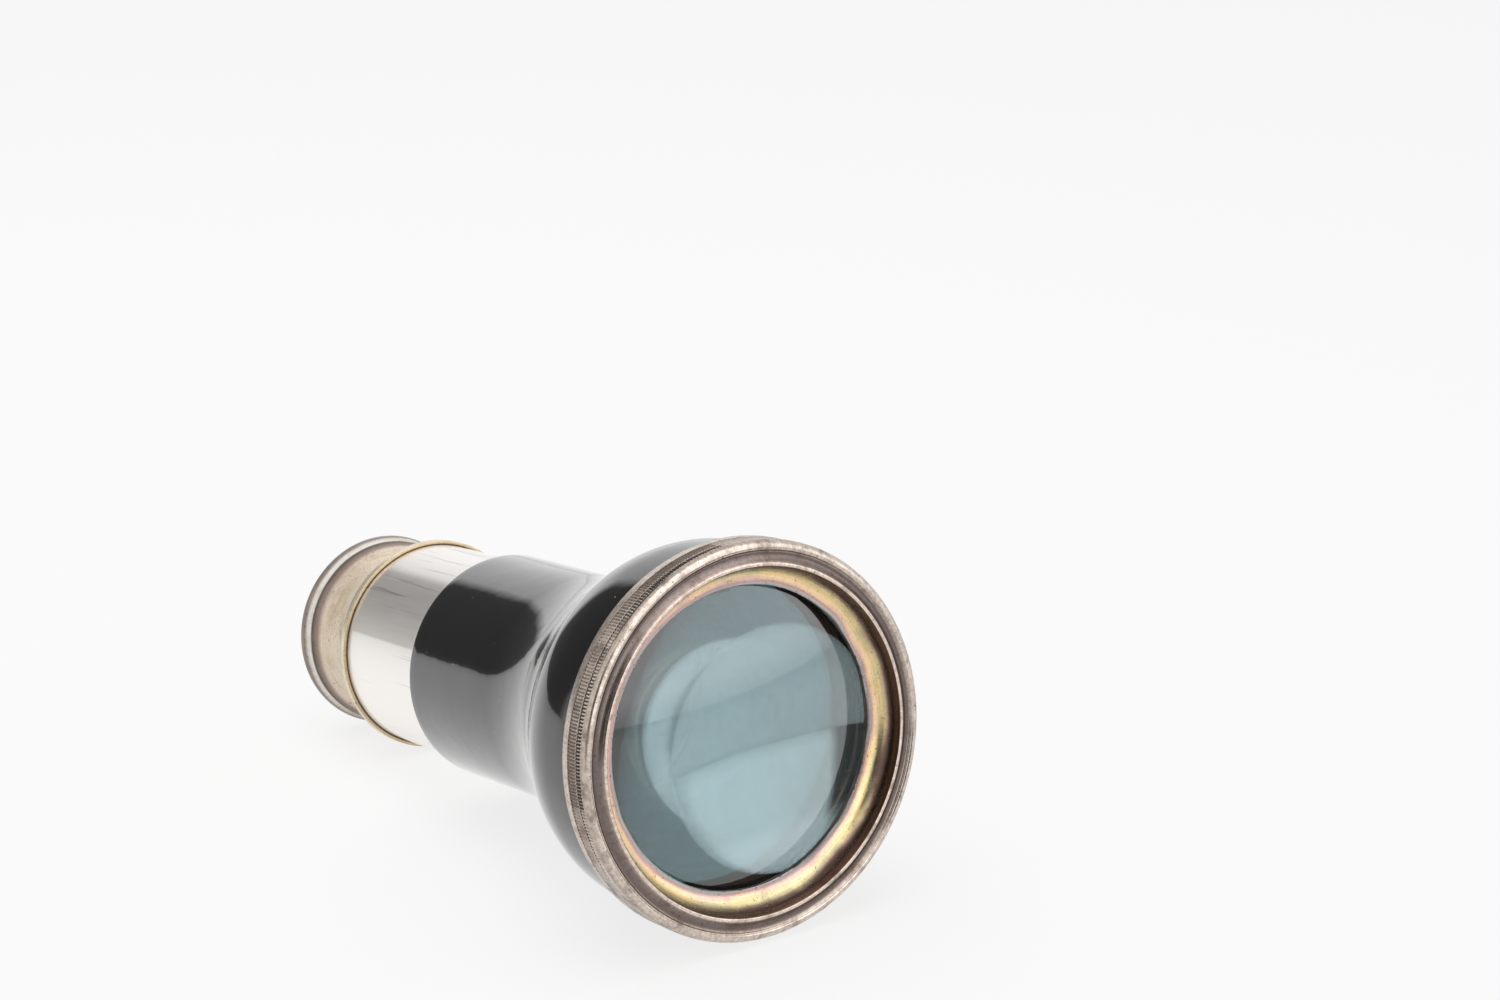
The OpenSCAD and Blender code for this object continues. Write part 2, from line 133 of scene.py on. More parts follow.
class ObjectiveSizes(bpy.types.PropertyGroup):
    """Sizes of the objective ring and its two lenses."""

    ring_radius: size("Ring radius", CELL.outer / MM, "Outer radius of the objective ring")
    window: size("Window radius", CELL.inner / MM, "Radius of the clear opening in front of the lens")
    lip_front: size("Lip front", 3.5, "Depth of the lip that the front lens lies against")
    seat: size("Lens seat", 4.3, "Depth of the face behind the lip")
    lip_width: size("Lip width", 0.3, "Width of the flat lip at the foot of the cove")
    cove: size("Cove radius", 2.6, "Radius of the hollow between the lip and the crest")
    crest: size("Crest radius", 23.8, "Radius of the middle of the crest")
    crest_land: size("Crest width", 0.4, "Width of the flat top of the crest")
    groove_end: size("Groove end", 26, "Radius at which the groove runs into the outer bead")
    groove_depth: size("Groove depth", 0.5, "Depth of the dished groove outside the crest")
    fillet_line: size("Fillet line radius", 25.72, "Radius of the fine raised line beside the bead")
    bead_setback: size("Bead setback", 0.2, "How far the bead lies behind the crest")
    bead: size("Bead radius", 1, "Radius of the rounded outer bead")
    band_front: size("Milled band front", 1.2, "Where the ring's milled band starts")
    band_back: size("Milled band back", 2.1, "Where the ring's milled band ends")
    gap_floor: size("Gap floor radius", 25.9, "Radius at the bottom of the gap behind the ring")
    gap_back: size("Gap back", FERRULE.front / MM, "Where the ring seats against the ferrule")
    skirt: size("Skirt radius", 23.6, "Outer radius of the threaded skirt")
    thread: size("Retainer thread radius", 22.9, "Radius of the thread for the lens retaining ring")
    fit: size("Lens clearance", 0.05, "Radial clearance round the lenses")
    front_curve: size("Front curve", 80, "Radius of the front lens's outer face")
    inner_curve: size("Inner curve", 70, "Radius of the faces between the two lenses")


class BarrelSizes(bpy.types.PropertyGroup):
    """Sizes of the ferrule and the two halves of the barrel."""

    ferrule: size("Ferrule radius", FERRULE.outer / MM, "Outer radius of the ferrule behind the ring")
    band_front: size("Milled band front", 2.55, "Where the ferrule's milled band starts")
    band_width: size("Milled band width", 1.8, "Width of the ferrule's milled band")
    sleeve: size("Sleeve radius", 24.325, "Outer radius of the sleeve inside the drum")
    lap: size("Sleeve clearance", 0.05, "Radial clearance of the drum on its sleeve")
    drum: size("Drum radius", DRUM.outer / MM, "Largest radius of the drum")
    drum_top: size("Drum top", 12.05, "Where the drum is widest")
    mouth_curve: size("Mouth curve", 40, "Radius of the slow curve at the drum's mouth")
    shoulder_curve: size("Shoulder curve", 14.4, "Radius of the curve from the drum towards the neck")
    flare_curve: size("Flare curve", 40, "Radius of the hollow curve that runs into the neck")
    seam: size("Seam", DRUM.back / MM, "Where the drum and the trumpet meet")
    seam_round: size("Seam rounding", 0.12, "Rounding of the lacquer at both sides of the seam")
    neck: size("Neck radius", 16.5, "Outer radius of the straight neck")
    wall: size("Wall", 0.7, "Thickness of the barrel's wall")
    spigot: size("Spigot radius", 23.2095, "Outer radius of the trumpet's spigot inside the drum")
    end_round: size("End rounding", 0.4, "Rounding at the eye end of the neck")


class TubeSizes(bpy.types.PropertyGroup):
    """Sizes of the draw tube and its collar."""

    groove: size("Stop groove radius", 14.875, "Radius at the floor of the stop ring's groove")
    edge: size("Edge bevel", 0.1, "Bevel on turned edges")
    collar_front: size("Collar front", 84.85, "Where the collar's flange starts")
    plug: size("Collar plug radius", 14.55, "Outer radius of the collar's thread in the tube")


class EyepieceSizes(bpy.types.PropertyGroup):
    """Sizes of the eyepiece cup, its lens cell and the eye lens."""

    plug: size("Cup plug radius", 13.85, "Outer radius of the cup's thread in the collar")
    plug_bore: size("Cup plug bore", 12.85, "Bore of the cup's threaded part")
    shoulder_round: size("Shoulder rounding", 0.7, "Radius of the bead beside the collar")
    waist: size("Waist radius", 12.9, "Smallest radius of the waist")
    waist_at: size("Waist place", 93.7288, "Where the waist is narrowest")
    waist_from: size("Waist start", 87.35, "Where the hollow of the waist starts")
    waist_curve: size("Waist curve", 13, "Radius of the hollow of the waist")
    rim: size("Rim radius", 14.5, "Outer radius of the rolled rim")
    rim_round: size("Rim rounding", 1.5, "Radius of the rolled rim")
    dish: size("Dish depth", 3.2, "Depth of the dish on the eye side")
    throat: size("Throat bore", 11.35, "Bore that takes the flange of the lens cell")
    cell_seat: size("Cell seat", 94.25, "Where the flange of the lens cell seats")
    cell_bore: size("Cell bore", 10.45, "Bore of the cup at the eye side")
    cell: size("Cell radius", 10.4, "Outer radius of the lens cell")
    lens_bore: size("Cell lens bore", 8.65, "Bore of the cell round the eye lens")
    lens_curve: size("Eye lens curve", 40, "Radius of both hollow faces of the eye lens")


class Milling(bpy.types.PropertyGroup):
    """The straight milling of the two bands."""

    ridges: bpy.props.IntProperty(
        name="Ridges", description="Ridges round each milled band", default=360, min=60, max=1200
    )
    depth: size("Ridge depth", 0.15, "Depth of the milling where it isn't worn")
    core: size("Band core", 0.3, "How far the milled band reaches into its ring")
    sink: size("Band sink", 0.02, "How far the band's foot is sunk in its ring")


class Finishes(bpy.types.PropertyGroup):
    """Colours of the finishes."""

    tube: tint("Polished tube", "#fffaf5", "Polished silver of the draw tube")
    lacquer: tint("Black lacquer", "#0c0c0e", "Black stoved lacquer of the barrel")
    crown: tint("Crown glass", "#e3f5f8", "Tint that the front lens gives to what passes it")
    flint: tint("Flint glass", "#b2e6ee", "Tint that the second lens gives to what passes it")


class Studio(bpy.types.PropertyGroup):
    """Camera and light."""

    bearing: bpy.props.FloatProperty(
        name="Camera bearing", description="Direction in which the camera looks, turned from +Y",
        default=radians(54.7), subtype="ANGLE", unit="ROTATION"
    )
    tilt: bpy.props.FloatProperty(
        name="Camera tilt", description="How far the camera looks down",
        default=radians(17.57), subtype="ANGLE", unit="ROTATION"
    )
    right: size("Crest to the right", 1.07, "How far right of the view's middle the crest's centre lies")
    below: size("Crest below", 32.019, "How far below the view's middle the crest's centre lies")
    distance: size("Camera distance", 460.825, "Depth of the crest's centre in the view")
    lens: bpy.props.FloatProperty(
        name="Focal length", description="In mm, for a sensor 36 mm wide", default=84, min=10, max=300
    )
    ambient: bpy.props.FloatProperty(
        name="Ambient level", description="Strength of the room's light on matt surfaces", default=0.5, min=0
    )


GROUPS = {
    "monocular_objective": ObjectiveSizes,
    "monocular_barrel": BarrelSizes,
    "monocular_tube": TubeSizes,
    "monocular_eyepiece": EyepieceSizes,
    "monocular_milling": Milling,
    "monocular_finishes": Finishes,
    "monocular_studio": Studio,
}


# Outlines

def arc(centre, radius, start, end, step=6):
    """Points on an arc about centre, a (radius, distance) point, between two angles in degrees."""
    count = max(2, ceil(abs(end - start) / step))
    angles = [radians(start + (end - start) * i / count) for i in range(count + 1)]
    return [(centre[0] + radius * cos(t), centre[1] + radius * sin(t)) for t in angles]


def spaced(start, end, pitch):
    """Evenly spaced numbers from start to end, no further apart than pitch."""
    count = max(1, ceil(abs(end - start) / pitch))
    return [start + (end - start) * i / count for i in range(count + 1)]


def face(apex, curve, edge, side):
    """A lens face from axis to edge; side is 1 where it falls towards the eye and -1 towards the front."""
    return [(r, apex + side * (curve - sqrt(curve * curve - r * r))) for r in spaced(0, edge, pitch=0.6 * MM)]


# Turning

def clear_selection():
    """Deselects every object, so that an operator acts on the new one alone."""
    if bpy.context.object and bpy.context.object.mode != "OBJECT":
        bpy.ops.object.mode_set(mode="OBJECT")
    bpy.ops.object.select_all(action="DESELECT")


def spin_outline(name, outline, closed, steps):
    """Extrudes one point along the outline and spins that about Z. Leaves the piece in edit mode."""
    clear_selection()
    bpy.ops.mesh.primitive_plane_add(size=MM, location=(0, 0, 0))
    piece = bpy.context.object
    piece.name = piece.data.name = name
    bpy.ops.object.mode_set(mode="EDIT")
    bpy.ops.mesh.select_all(action="SELECT")
    bpy.ops.mesh.merge(type="CENTER")
    corners = list(outline) + ([outline[0]] if closed else [])
    bpy.ops.transform.translate(value=(corners[0][0], 0, corners[0][1]))
    for (r0, a0), (r1, a1) in zip(corners, corners[1:]):
        bpy.ops.mesh.extrude_vertices_move(TRANSFORM_OT_translate={"value": (r1 - r0, 0, a1 - a0)})
    bpy.ops.mesh.select_all(action="SELECT")
    bpy.ops.mesh.remove_doubles(threshold=WELD)
    bpy.ops.mesh.spin(steps=steps, angle=2 * pi, center=(0, 0, 0), axis=(0, 0, 1), use_auto_merge=True)
    bpy.ops.mesh.select_all(action="SELECT")
    bpy.ops.mesh.remove_doubles(threshold=WELD)
    bpy.ops.mesh.normals_make_consistent(inside=False)
    return piece


def lay_on_axis(piece):
    """Lays a piece that was spun about Z on the optical axis and applies its place."""
    bpy.ops.object.mode_set(mode="OBJECT")
    piece.matrix_world = LATHE
    bpy.ops.object.transform_apply(location=True, rotation=True, scale=True)
    bpy.ops.object.shade_smooth_by_angle(angle=radians(SHARP))
    return piece


def turn(name, outline, closed=True, steps=256):
    """Turns a closed piece; an open outline starts and ends on the axis."""
    return lay_on_axis(spin_outline(name, outline, closed, steps))


# Shares of the milling's depth that wear has left, and how they come and go from line to line
WEAR_LEVELS = (1.0, 0.8, 0.55, 0.3)
WEAR_PITCH = 0.031
WEAR_DRIFT = 0.0127


def milled_band(name, outer, front, back, milling):
    """A band of straight ridges: every second line of it is pressed in, less so where the band is worn."""
    foot = outer - milling.core - milling.sink
    bevel = 0.08 * MM
    outline = [
        (foot, front),
        (outer - bevel, front),
        (outer, front + bevel),
        (outer, back - bevel),
        (outer - bevel, back),
        (foot, back),
    ]
    piece = spin_outline(name, outline, True, 2 * milling.ridges)
    for left in WEAR_LEVELS:
        mesh = bmesh.from_edit_mesh(piece.data)
        chosen = 0
        for vertex in mesh.verts:
            radius = hypot(vertex.co.x, vertex.co.y)
            line = round(atan2(vertex.co.y, vertex.co.x) / pi * milling.ridges) % (2 * milling.ridges)
            wave = 0.5 + 0.49 * sin(line * WEAR_PITCH) * cos(line * WEAR_DRIFT)
            level = WEAR_LEVELS[int(len(WEAR_LEVELS) * wave)]
            vertex.select_set(radius > foot + WELD and line % 2 == 1 and level == left)
            chosen += vertex.select
        mesh.select_flush_mode()
        bmesh.update_edit_mesh(piece.data)
        if chosen:
            inward = 1 - milling.depth * left / outer
            bpy.ops.transform.resize(value=(inward, inward, 1), center_override=(0, 0, 0))
    return lay_on_axis(piece)


def join(piece, *others):
    """Joins other pieces into piece, as one object."""
    clear_selection()
    for part in (piece, *others):
        part.select_set(True)
    bpy.context.view_layer.objects.active = piece
    bpy.ops.object.join()
    return piece


def settle(piece, material, body, slot, *nodes):
    """Gives a piece its finish and the body that it rides on, and hides the CAD nodes that it stands for. Slot
    is not used.
    """
    piece.data.materials.clear()
    piece.data.materials.append(material)
    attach(piece, body)
    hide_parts(*nodes)


# Finishes

def add(tree, kind, inputs=(), **settings):
    """Adds a shader node with its settings, sets or links its inputs and returns it.

    Inputs are a list in the node's own order, or a dictionary by name or number. A socket is linked, and so
    is the first output of a node. A hex value is set as a colour, and any other value as it is.
    """
    node = tree.nodes.new("ShaderNode" + kind)
    for key, value in settings.items():
        setattr(node, key, value)
    for key, value in inputs.items() if isinstance(inputs, dict) else enumerate(inputs):
        if isinstance(value, bpy.types.Node):
            value = value.outputs[0]
        if isinstance(value, bpy.types.NodeSocket):
            tree.links.new(value, node.inputs[key])
        else:
            node.inputs[key].default_value = linear(value) if isinstance(value, str) else value
    return node


def lathe_group():
    """A node group that gives a point's place on the lathe: in mm, by radius, distance and turn."""
    group = bpy.data.node_groups.get("Lathe place")
    if group:
        return group
    group = bpy.data.node_groups.new("Lathe place", "ShaderNodeTree")
    for name, kind in (("Point", "Vector"), ("Radius", "Float"), ("Distance", "Float"), ("Turn", "Float")):
        group.interface.new_socket(name, in_out="OUTPUT", socket_type=f"NodeSocket{kind}")
    point = add(group, "Mapping", {
        "Vector": add(group, "TexCoord").outputs["Object"],
        "Location": CREST,
        "Rotation": LATHE.to_euler(),
        "Scale": (MM, MM, MM),
    }, vector_type="TEXTURE")
    parts = add(group, "SeparateXYZ", [point]).outputs
    flat = add(group, "CombineXYZ", [parts["X"], parts["Y"]])
    radius = add(group, "VectorMath", [flat], operation="LENGTH").outputs["Value"]
    turned = add(group, "Math", [parts["Y"], parts["X"]], operation="ARCTAN2")
    ends = group.nodes.new("NodeGroupOutput").inputs
    for socket, end in zip((point.outputs[0], radius, parts["Z"], turned.outputs[0]), ends):
        group.links.new(socket, end)
    return group


def start_material(name):
    """A new material. Returns it, its tree and the lathe place of its points."""
    material = bpy.data.materials.new(name)
    material.use_nodes = True
    tree = material.node_tree
    tree.nodes.clear()
    return material, tree, add(tree, "Group", node_tree=lathe_group()).outputs


def surface(tree, inputs):
    """Ends a material in a Principled shader with these inputs."""
    add(tree, "OutputMaterial", [add(tree, "BsdfPrincipled", inputs)])


def stretched(tree, place, along, around, across):
    """A vector for marks made on the lathe: marks per mm of distance, radian of turn and mm of radius."""
    scales = (("Distance", along), ("Turn", around), ("Radius", across))
    return add(tree, "CombineXYZ", [
        add(tree, "Math", [place[key], scale], operation="MULTIPLY") for key, scale in scales
    ])


def patches(tree, vector, width, low, high, detail=5, rough=0.6):
    """A noise of patches about width wide, from 0 below its low level to 1 above its high one."""
    noise = add(tree, "TexNoise", {
        "Vector": vector, "Scale": 1 / width, "Detail": detail, "Roughness": rough,
    })
    return add(tree, "MapRange", [noise, low, high], interpolation_type="SMOOTHSTEP")


def laid_over(tree, base, colour, pattern, share=1.0):
    """The base colour with another laid over it by a pattern from 0 to 1, at most by share."""
    amount = add(tree, "Math", [pattern, share], operation="MULTIPLY")
    return add(tree, "Mix", {0: amount, 6: base, 7: colour}, data_type="RGBA").outputs[2]


def by_place(tree, value, bands):
    """Colours by a place on the lathe; bands are pairs of a place in mm and an sRGB hex value, rising."""
    low, high = bands[0][0], bands[-1][0]
    ramp = add(tree, "ValToRGB", [add(tree, "MapRange", [value, low, high])])
    elements = ramp.color_ramp.elements
    while len(elements) < len(bands):
        elements.new(1)
    for element, (place, colour) in zip(elements, bands):
        element.position = (place - low) / (high - low)
        element.color = linear(colour)
    return ramp


def wandering(tree, place, key, amount):
    """The place called key, shifted by up to about amount mm by noise with waves 7.7 mm long."""
    noise = add(tree, "TexNoise", {"Vector": place["Point"], "Scale": 1 / 7.7, "Detail": 1})
    shift = add(tree, "Math", [noise, 0.5], operation="SUBTRACT")
    return add(tree, "Math", [shift, amount, place[key]], operation="MULTIPLY_ADD")


def on_ridges(tree, place, outer):
    """1 on the ridges of milling whose outer radius in mm is given, 0 at the foot of its grooves."""
    foot, top = outer - 0.15, outer - 0.02
    return add(tree, "MapRange", [place["Radius"], foot, top])


# Silver sulphide, thin and thick
SULPHIDE = "#5f4c43"
DEEP_SULPHIDE = "#3a2d28"


def worn_plate(tree, place, zones, stain, rough=(0.2, 0.38), metallic=1.0):
    """Ends a material as worn silver plate: brown stains and specks over its zones of colour, turning marks.

    The stains are 2.5 mm wide, the mottle 0.6 mm and the specks 0.4 mm. The turning marks, 9 to the mm, are
    coarser than real ones, so that they show. Stain is the share of brown at most, rough the roughness of
    clean and of stained plate, and metallic the share that shines through the tarnish on it.
    """
    point = place["Point"]
    stains = patches(tree, point, 2.5, 0.5, 0.7)
    mottle = patches(tree, point, 0.588, 0.35, 0.65, detail=4, rough=0.7)
    specks = patches(tree, point, 0.417, 0.63, 0.69, detail=3)
    turned = patches(tree, stretched(tree, place, 9, 1.5, 9), 1, 0.3, 0.7, detail=4)
    hollows = add(tree, "MapRange", [turned, 0, 1, 1, 0])
    mottle_share = add(tree, "Math", [stain, 0.7], operation="MULTIPLY")
    colour = laid_over(tree, zones, SULPHIDE, stains, stain)
    colour = laid_over(tree, colour, SULPHIDE, mottle, mottle_share)
    colour = laid_over(tree, colour, SULPHIDE, hollows, share=0.22)
    colour = laid_over(tree, colour, DEEP_SULPHIDE, specks, share=0.65)
    surface(tree, {
        "Base Color": colour,
        "Metallic": metallic,
        "Roughness": add(tree, "MapRange", [stains, 0, 1, *rough]),
        "Normal": add(tree, "Bump", {"Height": turned, "Strength": 0.2, "Distance": 0.02 * MM}),
    })


def ring_plate():
    """Silver plate of the objective ring.

    It gives the eye a bright crest, a cove tarnished in orange, yellow and olive bands, a grey groove and a
    pale bead. The bands wander in the cove alone, because polishing has kept the crest's edges sharp.
    """
    material, tree, place = start_material("Tarnished silver plate, turned ring")
    radius = place["Radius"]
    cove_edge = (22.9, 23.5)
    shifted = wandering(tree, place, "Radius", add(tree, "MapRange", [radius, *cove_edge, 1.3, 0]))
    outside_cove = [
        (23.42, "#4a3c36"), (23.56, "#5d4b43"), (23.62, "#fbeadd"), (23.98, "#f6e4d6"), (24.06, "#b9a49a"),
        (24.3, "#8c817c"), (24.9, "#7a706d"), (25.3, "#766b68"), (25.44, "#a4978e"), (25.7, "#cbbdb1"),
        (26.0, "#efe1d5"), (26.6, "#e4d6ca"), (27.0, "#c6b6a9"),
    ]
    # The cove's colours in two sorts, warm and cool, which lie in patches
    cove = [
        (20.5, "#6f6a66", "#6f6a66"), (20.62, "#b1aeab", "#b1aeab"), (20.85, "#c3bfbb", "#bdb9b8"),
        (21.1, "#c4a8a2", "#cdb0ae"), (21.45, "#ffd2ae", "#efc3b8"), (21.85, "#ffe3b4", "#f0d3b4"),
        (22.25, "#f3cf97", "#d3c69b"), (22.65, "#ddd09a", "#a9a17f"), (23.0, "#c0a78c", "#8a7768"),
        (23.22, "#7d675a", "#5d4b43"),
    ]
    warm = by_place(tree, shifted, [(at, colour) for at, colour, _ in cove] + outside_cove)
    cool = by_place(tree, shifted, [(at, colour) for at, _, colour in cove] + outside_cove)
    zones = laid_over(tree, warm, cool, patches(tree, place["Point"], 11.1, 0.42, 0.6))
    # The milled band is what lies both behind the bead and far from the axis
    behind = add(tree, "MapRange", [place["Distance"], 1.16, 1.2])
    outside = add(tree, "MapRange", [radius, 26.3, 26.5])
    ridges = laid_over(tree, "#83746a", "#e2d4c8", on_ridges(tree, place, CELL.outer / MM))
    stain = add(tree, "MapRange", [radius, *cove_edge, 0.12, 0.5])
    worn_plate(tree, place, laid_over(tree, zones, ridges, behind, outside), stain)
    return material


def ferrule_plate():
    """Silver plate of the ferrule. It gives the eye a plain bright lip beside milling with dark grooves."""
    material, tree, place = start_material("Worn silver plate, milled ferrule")
    # The near-black at the front, up to 2.52 mm, is painted shade in the gap behind the ring
    bands = [
        (2.4, "#1c1512"), (2.52, "#3a2e27"), (2.6, "#ecdfd3"), (2.8, "#cbbbae"), (4.28, "#c2b1a4"),
        (4.36, "#8b7a6e"), (4.44, "#f0e3d6"), (5.4, "#e2d3c6"), (5.6, "#8d7b6f"), (5.7, "#5d4d44"),
    ]
    distance = place["Distance"]
    behind_band = add(tree, "MapRange", [distance, 4.3, 4.34])
    ridges = add(tree, "Math", [on_ridges(tree, place, FERRULE.outer / MM), behind_band], operation="MAXIMUM")
    zones = laid_over(tree, "#bcaea2", by_place(tree, distance, bands), ridges)
    worn_plate(tree, place, zones, 0.5, metallic=0.6)
    return material


def collar_plate():
    """Thin silver plate of the collar. It gives the eye a golden line, where it is worn to the brass, and a
    painted dark line of shade where its face meets the tube.
    """
    material, tree, place = start_material("Silver plate worn to brass, turned collar")
    bands = [
        (84.83, "#e8cc9c"), (84.95, "#fff0d4"), (85.3, "#fff4e4"), (85.75, "#f6e4ca"), (85.95, "#a88f6c"),
    ]
    tube = TUBE.outer / MM
    # The dark #3a2c22 next to the tube is painted shade in the corner where the collar's face meets the tube
    off_tube = add(tree, "MapRange", [place["Radius"], tube + 0.08, tube + 0.3])
    zones = laid_over(tree, "#3a2c22", by_place(tree, place["Distance"], bands), off_tube)
    worn_plate(tree, place, zones, 0.15, metallic=0.5)
    return material


def cup_plate():
    """Satin silver plate of the eyepiece. It gives the eye a cream surface; its dark bands at the cup's edges
    and creases are painted shade and reflection, and its pale band on the rolled rim is a painted highlight.
    """
    material, tree, place = start_material("Satin silver plate, turned cup")
    # The dark bands at 85.9, 87.0 to 87.3 and 97.5 to 98.6 mm are painted shade and dark reflections at the
    # joint with the collar, behind the bead and at the foot of the rim; the pale band from 98.8 to 99.35 mm is
    # a painted highlight on the rolled rim
    bands = [
        (85.9, "#4f4037"), (86.1, "#ffefdd"), (86.7, "#f3e0cb"), (87.0, "#8f7b6a"), (87.3, "#5f4f44"),
        (87.5, "#fff0d4"), (89.5, "#fff2dc"), (92.5, "#ffedd4"), (96.7, "#fbe6d0"), (97.5, "#a8968a"),
        (98.2, "#84756b"), (98.6, "#4d3f37"), (98.8, "#fffcf6"), (99.35, "#fff8ee"), (99.75, "#9d928c"),
        (101.9, "#8d827c"),
    ]
    zones = by_place(tree, wandering(tree, place, "Distance", 0.25), bands)
    shade = patches(tree, stretched(tree, place, 0.25, 2.2, 0), 1, 0.48, 0.66, detail=3)
    shaded = laid_over(tree, zones, "#c9b27e", shade, share=0.4)
    worn_plate(tree, place, shaded, 0.15, rough=(0.38, 0.5), metallic=0.2)
    return material


def cell_plate():
    """Dull silver plate of the eye lens's cell. It gives the eye a brown-grey ring inside the cream cup."""
    material, tree, place = start_material("Dull silver plate, turned lens cell")
    zones = by_place(tree, place["Distance"], [(93, "#8d7f70"), (99, "#a39585")])
    worn_plate(tree, place, zones, 0.5, rough=(0.35, 0.5))
    return material


def polished_silver(finish):
    """Mirror-polished silver plate of the draw tube. It gives the eye a sharp image of the room under a haze.

    The rubbing marks and a thin tarnish run along the tube, as sliding in the sleeve leaves them; the dark
    streaks of that tarnish are also painted reflections of dark things in the room. The marks, 4 to the mm
    round the tube, are coarser than real ones, so that they show. The coat gives the sharp image.
    """
    material, tree, place = start_material("Polished silver plate, drawn tube")
    rubs = patches(tree, stretched(tree, place, 0.08, 60, 0), 1, 0.45, 0.75, detail=3)
    # Dark streaks along the tube: tarnish, and also painted reflections of dark things in the room
    tarnish_and_painted_reflection = patches(tree, stretched(tree, place, 0.03, 14, 0), 1, 0.58, 0.72, detail=3)
    surface(tree, {
        "Base Color": laid_over(tree, finish.tube, "#5f5864", tarnish_and_painted_reflection, share=0.55),
        "Metallic": 1,
        "Roughness": add(tree, "MapRange", [rubs, 0, 1, 0.5, 0.6]),
        "Normal": add(tree, "Bump", {"Height": rubs, "Strength": 0.12, "Distance": 0.01 * MM}),
        "Coat Weight": 1,
        "Coat Roughness": 0.03,
        "Coat IOR": 3,
    })
    return material


def stoved_lacquer(finish):
    """Glossy black stoved lacquer. It gives the eye a deep mirror, a little wavy from the brush, with flaws.

    The waves are 7 mm long and the grain 0.9 mm. Pits lie 4.5 mm apart and pale chips 2.4 mm, and the specks
    of dust are 0.3 mm wide.
    """
    material, tree, place = start_material("Black stoved lacquer, brushed")
    point = place["Point"]
    waves = add(tree, "TexNoise", {"Vector": point, "Scale": 1 / 7.14, "Detail": 2})
    grain = add(tree, "TexNoise", {"Vector": point, "Scale": 1 / 0.909, "Detail": 3})
    pits = add(tree, "TexVoronoi", {"Vector": point, "Scale": 1 / 4.545})
    chips = add(tree, "TexVoronoi", {"Vector": point, "Scale": 1 / 2.44})
    height = add(tree, "Math", [grain, 0.03, waves], operation="MULTIPLY_ADD")
    pitted = add(tree, "MapRange", [pits, 0.02, 0.07, 1, 0])
    height = add(tree, "Math", [pitted, -0.12, height], operation="MULTIPLY_ADD")
    bump = add(tree, "Bump", {"Height": height, "Strength": 0.4, "Distance": 0.2 * MM})
    dust = patches(tree, point, 0.286, 0.7, 0.78, detail=2)
    dusty = laid_over(tree, finish.lacquer, "#8a8883", dust, share=0.25)
    chipped = add(tree, "MapRange", [chips, 0.035, 0.06, 1, 0])
    surface(tree, {
        "Base Color": laid_over(tree, dusty, "#b9b4aa", chipped, share=0.7),
        "Roughness": 0.12,
        "IOR": 1.55,
        "Normal": bump,
        "Coat Weight": 1,
        "Coat Roughness": 0.02,
        "Coat IOR": 1.62,
        "Coat Normal": bump,
    })
    return material


def optical_black(name, dark, light):
    """Matt black of the inner walls. It gives the eye a dark ground behind the reflections in the lens."""
    known = bpy.data.materials.get(name)
    if known:
        return known
    material, tree, place = start_material(name)
    strokes = patches(tree, stretched(tree, place, 2, 8, 2), 1, 0.4, 0.7, detail=3)
    brushed = laid_over(tree, dark, light, strokes)
    surface(tree, {"Base Color": brushed, "Roughness": 0.75, "IOR": 1.2})
    return material


# Blacking of the inner walls: the plain black, and a lighter copy of it for the walls behind the objective
# where light falls on them; the copy's lighter grey is painted light
WHOLE = ("Matt optical black, brushed", "#161414", "#2c2926")
LIT_COPY_OF_BLACK = ("Matt optical black, lighter copy where lit", "#575350", "#7d7872")


def finish_part(piece, material, where):
    """Gives a material to a piece's faces for which where, a function of radius and distance, is true."""
    piece.data.materials.append(material)
    for polygon in piece.data.polygons:
        if where(*on_lathe(polygon.center)):
            polygon.material_index = len(piece.data.materials) - 1


def blacken(piece, inside, look=WHOLE):
    """Gives matt black to a piece's faces for which inside is true."""
    finish_part(piece, optical_black(*look), inside)


# Refractive index of crown glass and of dense flint glass
CROWN_INDEX = 1.52
FLINT_INDEX = 1.8


def lens_glass(name, colour, index, shine):
    """Polished optical glass. It gives the eye a faintly tinted depth under mirror images of the room.

    Shine is the index of a clear coat, over that of real glass, because the studio's light has a plain level.
    """
    material, tree, _ = start_material(name)
    surface(tree, {
        "Base Color": colour,
        "Transmission Weight": 1,
        "Roughness": 0,
        "IOR": index,
        "Coat Weight": 1,
        "Coat Roughness": 0,
        "Coat IOR": shine,
    })
    return material


def plain_metal(name, colour, rough):
    """Bare or blackened metal of an inner piece. It gives the eye a dull sheen with fine turning marks."""
    material, tree, place = start_material(name)
    turned = patches(tree, stretched(tree, place, 6, 1, 6), 1, 0.3, 0.7, detail=3)
    hollows = add(tree, "MapRange", [turned, 0, 1, 1, 0])
    dulled = laid_over(tree, colour, DEEP_SULPHIDE, hollows, share=0.3)
    surface(tree, {"Base Color": dulled, "Metallic": 1, "Roughness": rough})
    return material


# Pieces

class Step:
    """What all steps share: each of them can be undone."""

    bl_options = {"REGISTER", "UNDO"}


